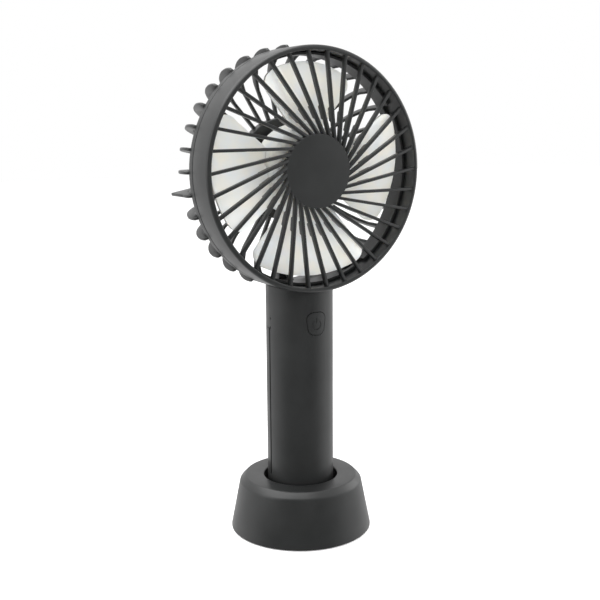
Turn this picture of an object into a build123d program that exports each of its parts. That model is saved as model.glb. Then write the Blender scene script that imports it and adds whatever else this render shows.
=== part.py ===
from build123d import *
import math
import os

# Small round fan on a slim round handle, standing upright in its own desk stand.
# Millimetres. The origin is the centre of the stand's underside, +Z is up and the
# fan blows towards -Y. The handle and the stand share the vertical axis, and the
# blades turn about a horizontal axis parallel to Y at the height head_z.

# ---- driving dimensions ------------------------------------------------------------
head_z = 165.0              # height of the fan axis
ring_r = 52.5               # outside of the round head
ring_wall = 2.2
face_y = -18.0              # front rim of the head
parting_y = -3.8            # joint line between the front and the rear ring
ring_back_y = 0.0           # rear edge of the rear ring
rear_y = 17.0               # back of the hub plate's rim and of the wiring spoke
gap = 0.3                   # clearance between pieces that move apart

disc_r = 15.9               # plain disc in the middle of the front grille
vane_count = 34
vane_start = 0.5            # angle of the first vane, degrees
vane_offset = 9.8           # distance by which each vane misses the fan axis
vane_t = 1.3
vane_depth = 2.4

rib_count = 34
rib_start = -0.2            # angle of the first rear rib, degrees
rib_t = 1.3
spoke_ribs = (25, 26)       # the two ribs that the wiring spoke replaces
long_rib = 18               # the one rib with a square, longer corner

blade_count = 4
blade_tip_r = 46.2
blade_half_deg = 35.5
blade_mid_y = -7.8
blade_lead = 9.0            # axial rise of the blade per radian
blade_t = 1.3
hub_r = 20.0
hub_front_y = -11.5
hub_rear_y = 4.0

motor_r = 12.2
motor_front_y = -0.8
motor_rear_y = 11.5
shaft_r = 1.0

handle_r = 15.2
handle_wall = 1.7
handle_bottom = 6.3
handle_in_r = handle_r - handle_wall
saddle_r = ring_r + gap     # the handle's top is hollowed to the head's curve
band_top = 27.0             # top of the closed band below the battery cover
cover_top = 95.2            # top of the battery cover
button_z = 98.4

cell_r = 9.25               # one 18650 lithium cell
cell_len = 65.0
cell_y = 1.6
cell_z = 24.0
tray_r = 9.5
tray_wall = 1.0

stand_r = 32.5
stand_h = 25.0
socket_floor = 6.0
socket_r = 17.0

fan_axis = Axis((0, 0, head_z), (0, 1, 0))
fan_section = Plane(origin=(0, 0, head_z), x_dir=(0, 1, 0), z_dir=(1, 0, 0))


def fan_face(y):
    """Plane across the fan axis at y that looks forward: X right, Z up."""
    return Plane(origin=(0, y, head_z), x_dir=(1, 0, 0), z_dir=(0, -1, 0))


def rear_face(y, z=head_z):
    """Plane across the fan axis at y that looks backward: X right, Z down."""
    return Plane(origin=(0, y, z), x_dir=(1, 0, 0), z_dir=(0, 1, 0))


def turned(points, round_corners=()):
    """Turn a closed (y, radius) outline about the fan axis."""
    with BuildPart() as piece:
        with BuildSketch(fan_section) as outline:
            with BuildLine():
                Polyline(*points, close=True)
            make_face()
            for corner, radius in round_corners:
                nearest = outline.vertices().sort_by_distance((*corner, 0))[0]
                fillet(nearest, radius)
        revolve(axis=fan_axis)
    return piece.part


def screw(head_r, head_h, shank_r, length):
    """Pan-head screw with a cross recess: seat at z = 0, shank down, head up."""
    with BuildPart() as piece:
        with BuildSketch(Plane.XZ):
            with BuildLine():
                Polyline(
                    (0, -length),
                    (shank_r, -length + 1.2 * shank_r),
                    (shank_r, 0),
                    (head_r, 0),
                    (head_r, 0.45 * head_h),
                    (0.72 * head_r, head_h),
                    (0, head_h),
                    close=True,
                )
            make_face()
        revolve(axis=Axis.Z)
        with BuildSketch(Plane.XY.offset(head_h)):
            Rectangle(1.1 * head_r, 0.28 * head_r)
            Rectangle(0.28 * head_r, 1.1 * head_r)
        extrude(amount=-0.5 * head_h, mode=Mode.SUBTRACT)
    return piece.part


def lead(points, wire_r=0.55):
    """Round lead along straight runs joined by the largest arcs the runs allow."""
    corners = [Vector(*point) for point in points]
    runs = [corners[i + 1] - corners[i] for i in range(len(corners) - 1)]
    radii = []
    for before, after in zip(runs, runs[1:]):
        half_turn = math.radians(before.get_angle(after)) / 2
        radii.append(0.45 * min(before.length, after.length) / math.tan(half_turn))
    print("lead arcs, mm:", [round(r, 1) for r in radii])
    with BuildPart() as piece:
        with BuildLine() as path:
            if radii:
                FilletPolyline(*points, radius=radii)
            else:
                Line(*points)
        with BuildSketch(Plane(origin=points[0], z_dir=tuple(runs[0]))):
            Circle(wire_r)
        sweep(path=path.line)
    return piece.part


def gather(shapes):
    """One node made of several separate solids."""
    return Compound(children=list(shapes))


# ---- desk stand ----------------------------------------------------------------------
boss_radius = 23.5
boss_r = 2.6
plate_low = 0.7
plate_high = 2.5
pad_h = 1.3
pad_r = 4.0
skirt_low = 0.4

with BuildPart() as base_shell:
    with BuildSketch(Plane.XZ) as stand_outline:
        with BuildLine():
            Polyline(
                (0, socket_floor),
                (15.5, socket_floor),
                (15.5, 8.0),
                (socket_r, stand_h),
                (25.65, stand_h),
                (28.2, 22.4),
                (stand_r, skirt_low),
                (30.6, skirt_low),
                (26.4, 21.3),
                (24.9, 22.8),
                (18.6, 22.8),
                (17.2, socket_floor - 1.6),
                (0, socket_floor - 1.6),
                close=True,
            )
        make_face()
        rim_points = [(socket_r, stand_h), (25.65, stand_h), (28.2, 22.4), (stand_r, skirt_low)]
        for (rim_x, rim_z), rim_round in zip(rim_points, (0.6, 0.5, 0.7, 0.5)):
            rim_corner = stand_outline.vertices().sort_by_distance((rim_x, rim_z, 0))[0]
            fillet(rim_corner, rim_round)
    revolve(axis=Axis.Z)
    with BuildSketch(Plane.XY.offset(plate_high)):
        with PolarLocations(boss_radius, 3, start_angle=90):
            Circle(boss_r)
    extrude(amount=21.0)
    with BuildSketch(Plane.XY.offset(plate_high)):
        with PolarLocations(boss_radius, 3, start_angle=90):
            Circle(1.05)
    extrude(amount=10.0, mode=Mode.SUBTRACT)

with BuildPart() as base_plate:
    with BuildSketch(Plane.XY.offset(plate_low)):
        Circle(29.9)
    extrude(amount=plate_high - plate_low)
    with Locations(Plane.XY.offset(plate_low)):
        with PolarLocations(boss_radius, 3, start_angle=90):
            Cylinder(1.2, 10, mode=Mode.SUBTRACT)
            Cylinder(2.4, 2.2, mode=Mode.SUBTRACT)
        with PolarLocations(boss_radius, 3, start_angle=30):
            Cylinder(pad_r + 0.15, 1.2, mode=Mode.SUBTRACT)

with BuildPart() as foot_pads:
    with BuildSketch(Plane.XY):
        with PolarLocations(boss_radius, 3, start_angle=30):
            Circle(pad_r)
    extrude(amount=pad_h)
    fillet(foot_pads.edges().group_by(Axis.Z)[0], 0.3)

base_screw = screw(2.2, 0.9, 1.0, 8.0)
with BuildPart() as base_screws:
    with PolarLocations(boss_radius, 3, start_angle=90):
        with Locations(Location((0, 0, plate_low + 1.1), (180, 0, 0))):
            add(base_screw)

# ---- front grille: ring, plain disc and straight vanes ---------------------------------
ring_in_r = ring_r - ring_wall
vane_front_y = face_y + 0.4
inner_s = math.sqrt((disc_r - 0.6) ** 2 - vane_offset ** 2)
outer_s = math.sqrt((ring_in_r + 0.8) ** 2 - vane_offset ** 2)
tab_s = (19.8, 26.2)        # stretch of each vane with the deeper tab
tab_depth = 1.0
lug_angles = [22, 112, 202, 292]
lug_front_y = -8.0
lug_rear_y = -6.2

with BuildPart() as vane_blank:
    with BuildSketch(Plane.XZ):
        with BuildLine():
            Polyline(
                (inner_s, 0),
                (outer_s, 0),
                (outer_s, -vane_depth),
                (tab_s[1], -vane_depth),
                (tab_s[1] - 0.5, -vane_depth - tab_depth),
                (tab_s[0] + 0.5, -vane_depth - tab_depth),
                (tab_s[0], -vane_depth),
                (inner_s, -vane_depth),
                close=True,
            )
        make_face()
    extrude(amount=vane_t / 2, both=True)
    fillet(vane_blank.edges().filter_by(Axis.X).group_by(Axis.Z)[-1], 0.35)

front_ring = turned(
    [
        (face_y, ring_in_r),
        (face_y, ring_r),
        (parting_y - gap / 2, ring_r),
        (parting_y - gap / 2, ring_in_r),
    ],
    [((face_y, ring_r), 1.5), ((face_y, ring_in_r), 0.4)],
)
centre_disc = turned(
    [
        (vane_front_y, 0),
        (vane_front_y, disc_r),
        (vane_front_y + 2.8, disc_r),
        (vane_front_y + 2.8, disc_r - 1.4),
        (vane_front_y + 1.5, disc_r - 1.4),
        (vane_front_y + 1.5, 0),
    ],
    [((vane_front_y, disc_r), 0.4)],
)

with BuildPart(fan_face(vane_front_y)) as front_grille:
    with PolarLocations(0, vane_count, start_angle=vane_start):
        with Locations((0, -vane_offset, 0)):
            add(vane_blank.part)
    with Locations(fan_face(vane_front_y).location.inverse()):
        add(front_ring)
        add(centre_disc)
    with BuildSketch(fan_face(lug_rear_y)):
        with PolarLocations(0, 4, start_angle=lug_angles[0]):
            with Locations((ring_in_r - 0.35, 0)):
                Rectangle(1.5, 3.2)
    extrude(amount=lug_rear_y - lug_front_y)

# ---- rear grille: ring with a skirt, ribs, hub plate, motor pot, neck -------------------
skirt_out_r = ring_in_r - gap
skirt_in_r = 48.9
skirt_front_y = -10.4
hub_plate_r = 22.7
plate_front_y = 12.0
plate_rear_y = 14.0
pot_r = 14.0
pot_bore = motor_r + 0.12
pot_front_y = motor_front_y - 1.4
motor_screw_x = 7.0
cover_screw_x = 17.6
rib_out_r = 52.4
rib_ring_r = 50.4
rib_proud_r = 53.7
rib_depth = 2.4             # at the hub; the corner by the ring is deeper
rib_hub_r = 22.0
dome_r = 39.0               # where the ribs reach furthest back
dome_y = 20.2
spoke_w = 6.8
groove_w = 3.8
web_half_deg = 24
tongue_low = 104.0
tongue_r = handle_in_r - gap
tongue_front_y = -3.4
clamp_x = 7.0
clamp_z = 108.2
lead_bore_y = 5.0
lead_xs = (-0.9, 0.9)

# Each rib leaves the ring a little proud of it, turns in over the dome of the back and
# dips forward again to the hub plate. Points are (radius, -y).
with BuildPart() as rib_blank:
    with BuildSketch(Plane.XZ):
        with BuildLine():
            Polyline(
                (rib_ring_r, 0.6),
                (rib_out_r, 0.6),
                (rib_proud_r, -0.9),
            )
            ThreePointArc((rib_proud_r, -0.9), (53.1, -9.0), (49.7, -15.8))
            ThreePointArc((49.7, -15.8), (45.2, -19.0), (dome_r, -dome_y))
            Polyline(
                (dome_r, -dome_y),
                (rib_hub_r, -rear_y + 0.1),
                (rib_hub_r, rib_depth - rear_y + 0.1),
                (36.0, -17.7),
            )
            ThreePointArc((36.0, -17.7), (44.2, -14.9), (49.8, -7.5))
            Line((49.8, -7.5), (rib_ring_r, 0.6))
        make_face()
    extrude(amount=rib_t / 2, both=True)

with BuildPart() as long_rib_blank:
    with BuildSketch(Plane.XZ):
        with BuildLine():
            Polyline(
                (rib_out_r, 0.6),
                (rib_proud_r, -0.9),
                (rib_proud_r, -18.6),
                (44.0, -19.4),
                (44.0, -15.6),
                (49.8, -7.0),
                (rib_ring_r, 0.6),
                close=True,
            )
        make_face()
    extrude(amount=rib_t / 2, both=True)

rear_ring = turned(
    [
        (skirt_front_y, skirt_in_r),
        (skirt_front_y, skirt_out_r),
        (parting_y + gap / 2, skirt_out_r),
        (parting_y + gap / 2, ring_r),
        (ring_back_y, ring_r),
        (ring_back_y, ring_in_r),
        (ring_back_y - 1.5, skirt_in_r),
    ]
)
hub_plate = turned(
    [
        (plate_front_y, pot_bore),
        (plate_front_y, hub_plate_r),
        (rear_y, hub_plate_r),
        (rear_y, hub_plate_r - 1.3),
        (plate_rear_y, hub_plate_r - 1.3),
        (plate_rear_y, pot_bore),
    ],
    [((plate_front_y, hub_plate_r), 0.6)],
)
motor_pot = turned(
    [
        (plate_front_y + 0.5, pot_bore),
        (plate_front_y + 0.5, pot_r),
        (pot_front_y, pot_r),
        (pot_front_y, 3.3),
        (motor_front_y, 3.3),
        (motor_front_y, pot_bore),
    ]
)

with BuildPart() as neck_tongue:
    with BuildSketch(Plane.XY.offset(tongue_low)):
        Circle(tongue_r)
        with Locations((0, tongue_front_y - 20)):
            Rectangle(60, 40, mode=Mode.SUBTRACT)
    extrude(amount=12.6)
    with BuildSketch(fan_face(20)):
        Circle(50.4)
    extrude(amount=40, mode=Mode.SUBTRACT)

with BuildPart() as neck_web:
    with BuildSketch(fan_face(13.5)):
        Circle(rib_out_r)
        Circle(ring_in_r - 0.1, mode=Mode.SUBTRACT)
        web_x = 60 * math.sin(math.radians(web_half_deg))
        web_z = 60 * math.cos(math.radians(web_half_deg))
        with BuildLine():
            Polyline((0, 0), (-web_x, -web_z), (web_x, -web_z), close=True)
        make_face(mode=Mode.INTERSECT)
    extrude(amount=14.0)

with BuildPart() as rear_grille:
    add(rear_ring)
    add(hub_plate)
    add(motor_pot)
    add(neck_web.part)
    add(neck_tongue.part)
    for k in range(rib_count):
        if k in spoke_ribs:
            continue
        rib_turn = Location((0, 0, 0), (0, 0, rib_start + k * 360 / rib_count))
        with Locations(fan_face(0).location * rib_turn):
            add(rib_blank.part)
            if k == long_rib:
                add(long_rib_blank.part)
    # the ribs above the neck stay flush, so that the handle's saddle clears them
    with BuildSketch(fan_face(handle_r + 0.4)):
        Circle(rib_proud_r + 2)
        Circle(ring_r, mode=Mode.SUBTRACT)
        with Locations((0, -48)):
            Rectangle(2 * handle_r + 2.2, 30, mode=Mode.INTERSECT)
    extrude(amount=handle_r + 0.9, mode=Mode.SUBTRACT)
    # the wiring spoke runs straight down from the hub to the neck
    with BuildSketch(fan_face(rear_y)):
        with Locations((0, -36.3)):
            Rectangle(spoke_w, 29.0)
    extrude(amount=4.6)
    with BuildSketch(fan_face(rear_y)):
        with Locations((0, -35.6)):
            Rectangle(groove_w, 32.0)
    extrude(amount=3.4, mode=Mode.SUBTRACT)
    with BuildSketch(fan_face(rear_y)):
        with Locations((0, -17.0)):
            Rectangle(groove_w, 12.0)
    extrude(amount=4.4, mode=Mode.SUBTRACT)
    # bore for the leads through the tongue and the web
    with BuildSketch(Plane.XY.offset(tongue_low)):
        with Locations((0, lead_bore_y)):
            SlotOverall(6.0, 3.6)
    extrude(amount=13.0, mode=Mode.SUBTRACT)
    with Locations((0, 8.0, 115.0), (0, 13.0, 120.0)):
        Box(groove_w, 9.6, 7.0, mode=Mode.SUBTRACT)
    # clamp screws through the tongue, motor screws through the pot's end
    with Locations(rear_face(0, clamp_z)):
        with GridLocations(2 * clamp_x, 0, 2, 1):
            Cylinder(1.25, 40, mode=Mode.SUBTRACT)
    with Locations(fan_face(pot_front_y + 0.7)):
        with GridLocations(2 * motor_screw_x, 0, 2, 1):
            Cylinder(1.15, 3, mode=Mode.SUBTRACT)
    # cover screw holes
    with Locations(fan_face(plate_rear_y)):
        with GridLocations(2 * cover_screw_x, 0, 2, 1):
            Cylinder(0.95, 8, mode=Mode.SUBTRACT)
    # slots in the skirt for the front grille's lugs: in from the front, then a turn
    for lug_angle in lug_angles:
        with BuildSketch(fan_face(lug_rear_y + 0.3)):
            for turn_step in range(0, 11, 2):
                with PolarLocations(skirt_in_r + 0.6, 1, start_angle=lug_angle + turn_step):
                    Rectangle(2.0, 4.2)
        extrude(amount=lug_rear_y - lug_front_y + 0.6, mode=Mode.SUBTRACT)
        with BuildSketch(fan_face(lug_rear_y + 0.3)):
            with PolarLocations(skirt_in_r + 0.6, 1, start_angle=lug_angle + 10):
                Rectangle(2.0, 4.2)
        extrude(amount=6.0, mode=Mode.SUBTRACT)

motor_cover_part = turned(
    [
        (plate_rear_y + 0.1, 0),
        (plate_rear_y + 0.1, hub_plate_r - 1.45),
        (rear_y - 0.4, hub_plate_r - 1.45),
        (rear_y - 0.2, hub_plate_r - 3.0),
        (rear_y - 0.2, 0),
    ]
)
with BuildPart() as motor_cover:
    add(motor_cover_part)
    with BuildSketch(fan_face(plate_rear_y + 0.1)):
        Circle(12.0)
        with Locations((0, -12.0)):
            Rectangle(groove_w, 24.0)
    extrude(amount=-1.6, mode=Mode.SUBTRACT)
    with BuildSketch(fan_face(rear_y)):
        with PolarLocations(7.0, 8):
            SlotOverall(5.0, 1.4)
    extrude(amount=4.0, mode=Mode.SUBTRACT)
    with Locations(fan_face(rear_y)):
        with GridLocations(2 * cover_screw_x, 0, 2, 1):
            Cylinder(1.1, 10, mode=Mode.SUBTRACT)
            Cylinder(1.9, 2.6, mode=Mode.SUBTRACT)

small_screw = screw(1.6, 0.8, 0.9, 4.6)
with BuildPart() as cover_screws:
    with Locations(rear_face(rear_y - 1.3)):
        with GridLocations(2 * cover_screw_x, 0, 2, 1):
            add(small_screw)

motor_screw = screw(1.7, 0.8, 1.0, 2.3)
with BuildPart() as motor_screws:
    with Locations(fan_face(pot_front_y)):
        with GridLocations(2 * motor_screw_x, 0, 2, 1):
            add(motor_screw)

# ---- motor: can, magnets, end cap, bushes, brushes, terminals ---------------------------
can_wall = 0.8
bush_r = 2.1
bush_bore = shaft_r + 0.05

motor_can_part = turned(
    [
        (motor_front_y, bush_r + 0.02),
        (motor_front_y - 1.2, bush_r + 0.02),
        (motor_front_y - 1.2, 3.0),
        (motor_front_y, 3.0),
        (motor_front_y, motor_r),
        (motor_rear_y, motor_r),
        (motor_rear_y, motor_r - can_wall),
        (motor_front_y + can_wall, motor_r - can_wall),
        (motor_front_y + can_wall, bush_r + 0.02),
    ]
)
with BuildPart() as motor_can:
    add(motor_can_part)
    with Locations(fan_face(motor_front_y)):
        with GridLocations(2 * motor_screw_x, 0, 2, 1):
            Cylinder(1.02, 4, mode=Mode.SUBTRACT)

with BuildPart() as motor_magnets:
    with BuildSketch(fan_face(7.2)):
        Circle(motor_r - can_wall - 0.02)
        Circle(9.4, mode=Mode.SUBTRACT)
        with GridLocations(0, 20, 1, 2):
            Rectangle(30, 12, mode=Mode.SUBTRACT)
    extrude(amount=6.0)

end_cap_part = turned(
    [
        (9.8, bush_r + 0.02),
        (9.8, motor_r - can_wall - 0.02),
        (motor_rear_y, motor_r - can_wall - 0.02),
        (motor_rear_y, 3.4),
        (motor_rear_y + 1.0, 3.0),
        (motor_rear_y + 1.0, bush_r + 0.02),
    ]
)
with BuildPart() as motor_end_cap:
    add(end_cap_part)
    with Locations(fan_face(11.0)):
        with Locations((lead_xs[0], -9.0), (lead_xs[1], -9.0)):
            Box(0.7, 1.9, 4, mode=Mode.SUBTRACT)

with BuildPart() as motor_terminals:
    with BuildSketch(fan_face(12.6)):
        with Locations((lead_xs[0], -9.0), (lead_xs[1], -9.0)):
            Rectangle(0.5, 1.7)
    extrude(amount=2.6)

front_bush = turned([(-1.9, bush_bore), (-1.9, bush_r), (0.6, bush_r), (0.6, bush_bore)])
rear_bush = turned([(9.9, bush_bore), (9.9, bush_r), (12.3, bush_r), (12.3, bush_bore)])
with BuildPart() as motor_bushes:
    add(front_bush)
    add(rear_bush)

with BuildPart() as brushes:
    with BuildSketch(fan_face(9.75)):
        with GridLocations(5.6, 0, 2, 1):
            Rectangle(0.3, 5.0)
    extrude(amount=2.3)

# ---- rotor: shaft, armature, windings, commutator --------------------------------------
with BuildPart() as motor_shaft:
    with BuildSketch(fan_face(12.1)):
        Circle(shaft_r)
    extrude(amount=21.1)
    chamfer(motor_shaft.edges().group_by(Axis.Y)[0], 0.2)

with BuildPart() as armature:
    with BuildSketch(fan_face(6.3)):
        Circle(3.2)
        with PolarLocations(5.6, 3, start_angle=90):
            Rectangle(6.6, 2.4)
        for pole_angle in (90, 210, 330):
            with BuildLine():
                shoe_out = CenterArc((0, 0), 9.0, pole_angle - 42, 84)
                shoe_in = CenterArc((0, 0), 7.7, pole_angle - 42, 84)
                Line(shoe_out @ 0, shoe_in @ 0)
                Line(shoe_out @ 1, shoe_in @ 1)
            make_face()
        Circle(shaft_r, mode=Mode.SUBTRACT)
    extrude(amount=4.4)

with BuildPart() as windings:
    for arm in range(3):
        arm_turn = Location((0, 0, 0), (0, 0, 90 + 120 * arm))
        with Locations(fan_face(4.1).location * arm_turn * Location((5.5, 0, 0))):
            Box(3.4, 4.6, 6.0)
            Box(8.0, 2.46, 4.46, mode=Mode.SUBTRACT)

commutator_part = turned([(6.9, shaft_r), (6.9, 2.3), (9.3, 2.3), (9.3, shaft_r)])
with BuildPart() as commutator:
    add(commutator_part)
    with BuildSketch(fan_face(9.4)):
        with PolarLocations(2.2, 3, start_angle=30):
            Rectangle(0.7, 0.3)
    extrude(amount=3.0, mode=Mode.SUBTRACT)

# ---- impeller ---------------------------------------------------------------------------
reach = 31.0                # half width of the sheet that each blade is cut from
hollow = 1.0                # depth of the blade's camber

with BuildPart() as blade_blank:
    for blade_x in (17.0, 32.0, 47.5):
        rise = blade_lead / blade_x * reach
        with BuildSketch(Plane.YZ.offset(blade_x)):
            with BuildLine():
                low = ThreePointArc((-reach, -rise), (0, -hollow), (reach, rise))
                high = ThreePointArc(
                    (-reach, blade_t - rise), (0, blade_t - hollow), (reach, blade_t + rise)
                )
                Line(low @ 0, high @ 0)
                Line(low @ 1, high @ 1)
            make_face()
    loft()
    root_r = hub_r - 1.0
    root_half = math.radians(29)
    tip_half = math.radians(blade_half_deg)
    with BuildSketch(Plane.XY.offset(-30)) as blade_outline:
        with BuildLine():
            tip = CenterArc((0, 0), blade_tip_r, -blade_half_deg, 2 * blade_half_deg)
            Line(tip @ 0, (root_r * math.cos(root_half), -root_r * math.sin(root_half)))
            Line(
                (root_r * math.cos(root_half), -root_r * math.sin(root_half)),
                (root_r * math.cos(root_half), root_r * math.sin(root_half)),
            )
            Line((root_r * math.cos(root_half), root_r * math.sin(root_half)), tip @ 1)
        make_face()
        fillet(blade_outline.vertices().group_by(SortBy.DISTANCE)[-1], 7.5)
    extrude(amount=60, mode=Mode.INTERSECT)

hub_cup = turned(
    [
        (hub_front_y, 0),
        (hub_front_y, hub_r),
        (hub_rear_y, hub_r),
        (hub_rear_y, hub_r - 1.4),
        (hub_front_y + 1.6, hub_r - 1.4),
        (hub_front_y + 1.6, 3.4),
        (-3.0, 3.0),
        (-3.0, shaft_r),
        (hub_front_y + 2.3, shaft_r),
        (hub_front_y + 2.3, 0),
    ],
    [((hub_front_y, hub_r), 3.2)],
)
with BuildPart() as impeller:
    add(hub_cup)
    for blade in range(blade_count):
        blade_turn = Location((0, 0, 0), (0, 0, 90 * blade))
        with Locations(fan_face(blade_mid_y).location * blade_turn):
            add(blade_blank.part)

# ---- handle ---------------------------------------------------------------------------
board_low = 84.0
board_high = 105.0
board_front_y = -10.0
board_t = 0.9
post_x = 5.2
post_z = 87.0
low_screw_z = 12.0
seam = 0.08
shell_trim_z = 118.0        # the shells run up to here before the saddle is cut
tray_low = 18.4             # the cell's trough and its end walls
tray_high = 90.2
flange_y = 0.7
flange_t = 1.2
usb_z = 100.9
usb_w = 7.6
usb_h = 2.6
charge_board_z = 98.6


def half_tube(low, high, outer, inner, side):
    """Half of a tube round the handle's axis; side is -1 for the front, 1 for the rear."""
    with BuildPart() as piece:
        with BuildSketch(Plane.XY.offset(low)):
            Circle(outer)
            if inner > 0:
                Circle(inner, mode=Mode.SUBTRACT)
            with Locations((0, side * (seam - 20))):
                Rectangle(60, 40, mode=Mode.SUBTRACT)
        extrude(amount=high - low)
    return piece.part


def button_outline(grow):
    """Rounded outline of the power button, wider at the top, grown all round."""
    with BuildSketch(Plane.XZ.offset(handle_r + 3)) as outline:
        top = button_z + 4.9
        bottom = button_z - 5.1
        with BuildLine():
            Polyline((-5.1, top), (5.1, top), (3.6, bottom), (-3.6, bottom), close=True)
        make_face()
        fillet(outline.vertices(), 3.1)
        if grow > 0:
            offset(amount=grow)
    return outline.sketch


with BuildPart() as handle_front:
    add(half_tube(handle_bottom, shell_trim_z, handle_r, handle_in_r, -1))
    add(half_tube(handle_bottom, handle_bottom + 1.6, handle_r - 0.2, 0, -1))
    # bosses for the three handle screws and two posts for the control board
    with BuildSketch(Plane.XZ.offset(-tongue_front_y + 0.2)):
        with Locations((clamp_x, clamp_z), (-clamp_x, clamp_z)):
            Circle(2.4)
    extrude(until=Until.NEXT)
    with BuildSketch(Plane.XZ.offset(0.4)):
        with Locations((0, low_screw_z)):
            Circle(2.4)
    extrude(until=Until.NEXT)
    with BuildSketch(Plane.XZ.offset(-board_front_y)):
        with Locations((post_x, post_z), (-post_x, post_z)):
            Circle(1.5)
    extrude(until=Until.NEXT)
    with Locations(Plane.XZ.offset(0.4)):
        with Locations((clamp_x, clamp_z), (-clamp_x, clamp_z), (0, low_screw_z)):
            Cylinder(1.05, 18, mode=Mode.SUBTRACT)
    with Locations(Plane.XZ.offset(-board_front_y)):
        with Locations((post_x, post_z), (-post_x, post_z)):
            Cylinder(0.75, 5, mode=Mode.SUBTRACT)
    # opening for the button
    extrude(button_outline(0.28), amount=-8, mode=Mode.SUBTRACT)
    # two small prising notches in each seam edge, above and at the cover's top
    with Locations((0, -seam, 99.8), (0, -seam, 95.6)):
        Cylinder(0.6, 2 * handle_r + 2, rotation=(0, 90, 0), mode=Mode.SUBTRACT)
    with BuildSketch(fan_face(20)):
        Circle(saddle_r)
    extrude(amount=40, mode=Mode.SUBTRACT)

with BuildPart() as handle_rear:
    add(half_tube(cover_top + gap, shell_trim_z, handle_r, handle_in_r, 1))
    add(half_tube(handle_bottom, band_top, handle_r, handle_in_r, 1))
    add(half_tube(handle_bottom, handle_bottom + 1.6, handle_r - 0.2, 0, 1))
    # trough that the cell lies in, open to the back
    with BuildSketch(Plane.XY.offset(tray_low)):
        with Locations((0, cell_y)):
            Circle(tray_r + tray_wall)
            Circle(tray_r, mode=Mode.SUBTRACT)
        with Locations((0, 1.3 + 20)):
            Rectangle(60, 40, mode=Mode.SUBTRACT)
    extrude(amount=tray_high - tray_low)
    # side flanges that tie the top and the bottom of the shell together
    with BuildSketch(Plane.XY.offset(tray_low)):
        with Locations((11.4, flange_y), (-11.4, flange_y)):
            Rectangle(3.6, flange_t)
    extrude(amount=charge_board_z - tray_low)
    for flange_low, flange_high in ((tray_low, band_top), (cover_top + gap, charge_board_z)):
        with BuildSketch(Plane.XY.offset(flange_low)):
            with Locations((12.2, flange_y), (-12.2, flange_y)):
                Rectangle(3.6, flange_t)
        extrude(amount=flange_high - flange_low)
    # end walls that hold the contacts
    with BuildSketch(Plane.XY.offset(tray_low)):
        with Locations((0, cell_y)):
            Circle(tray_r + tray_wall)
    extrude(amount=1.6)
    with BuildSketch(Plane.XY.offset(89.9)):
        with Locations((0, 1.0)):
            Rectangle(20.4, 9.0)
    extrude(amount=1.4)
    with Locations((-6.0, 3.0, 90.6), (6.4, -1.0, 19.2)):
        Cylinder(0.9, 4, mode=Mode.SUBTRACT)
    # sockets for the three handle screws
    with Locations(Plane.XZ.offset(-handle_r)):
        with Locations((clamp_x, clamp_z), (-clamp_x, clamp_z), (0, low_screw_z)):
            Cylinder(1.2, 12, mode=Mode.SUBTRACT)
    with BuildSketch(Plane.XZ.offset(-handle_r - 1)):
        with Locations((clamp_x, clamp_z), (-clamp_x, clamp_z)):
            Circle(2.1)
    extrude(amount=2.95, mode=Mode.SUBTRACT)
    with BuildSketch(Plane.XZ.offset(-handle_r - 1)):
        with Locations((0, low_screw_z)):
            Circle(2.1)
    extrude(amount=2.0, mode=Mode.SUBTRACT)
    # charging inlet
    with BuildSketch(Plane.XZ.offset(-handle_r - 1)):
        with Locations((0, usb_z)):
            RectangleRounded(usb_w + 0.5, usb_h + 0.5, 1.0)
    extrude(amount=6, mode=Mode.SUBTRACT)
    with BuildSketch(fan_face(20)):
        Circle(saddle_r)
    extrude(amount=40, mode=Mode.SUBTRACT)

clamp_screw = screw(1.9, 0.9, 1.0, 19.0)
low_screw = screw(1.9, 0.9, 1.0, 20.0)
with BuildPart() as handle_screws:
    with Locations(rear_face(handle_r - 1.95, clamp_z)):
        with GridLocations(2 * clamp_x, 0, 2, 1):
            add(clamp_screw)
    with Locations(rear_face(handle_r - 1.0, low_screw_z)):
        add(low_screw)

with BuildPart() as battery_cover:
    add(half_tube(band_top + gap, cover_top, handle_r, handle_in_r + 0.2, 1))
    # finger grooves across the top of the cover
    for groove_drop in (6, 9, 12):
        with Locations((0, handle_r + 0.5, cover_top - groove_drop)):
            Cylinder(0.8, 14, rotation=(0, 90, 0), mode=Mode.SUBTRACT)

# ---- power button and electronics --------------------------------------------------------
with BuildPart() as power_button:
    extrude(button_outline(0), amount=-8)
    with BuildSketch(Plane.XY.offset(button_z - 10)):
        Circle(handle_r + 0.05)
        Circle(12.3, mode=Mode.SUBTRACT)
    extrude(amount=20, mode=Mode.INTERSECT)
    with BuildSketch(Plane.XY.offset(button_z - 10)):
        Circle(handle_in_r - gap)
        Circle(12.3, mode=Mode.SUBTRACT)
    button_lip = extrude(amount=20, mode=Mode.PRIVATE)
    add(button_lip & extrude(button_outline(0.9), amount=-10, mode=Mode.PRIVATE))
    # engraved power sign: an open ring with an upright stroke
    with BuildSketch(Plane.XZ.offset(handle_r - 0.25)):
        sign_z = button_z - 0.5
        with BuildLine():
            CenterArc((0, sign_z), 2.1, 125, 290)
        trace(line_width=0.45)
        with BuildLine():
            Line((0, sign_z + 0.9), (0, sign_z + 3.0))
        trace(line_width=0.45)
    extrude(amount=2, mode=Mode.SUBTRACT)

with BuildPart() as control_board:
    with BuildSketch(Plane.XZ.offset(-board_front_y - board_t)):
        with Locations((0, (board_low + board_high) / 2)):
            RectangleRounded(14.4, board_high - board_low, 1.0)
        with Locations((post_x, post_z), (-post_x, post_z)):
            Circle(0.9, mode=Mode.SUBTRACT)
    extrude(amount=board_t)

board_screw = screw(1.3, 0.6, 0.7, 3.0)
with BuildPart() as board_screws:
    with Locations(rear_face(board_front_y + board_t, post_z)):
        with GridLocations(2 * post_x, 0, 2, 1):
            add(board_screw)

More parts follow.
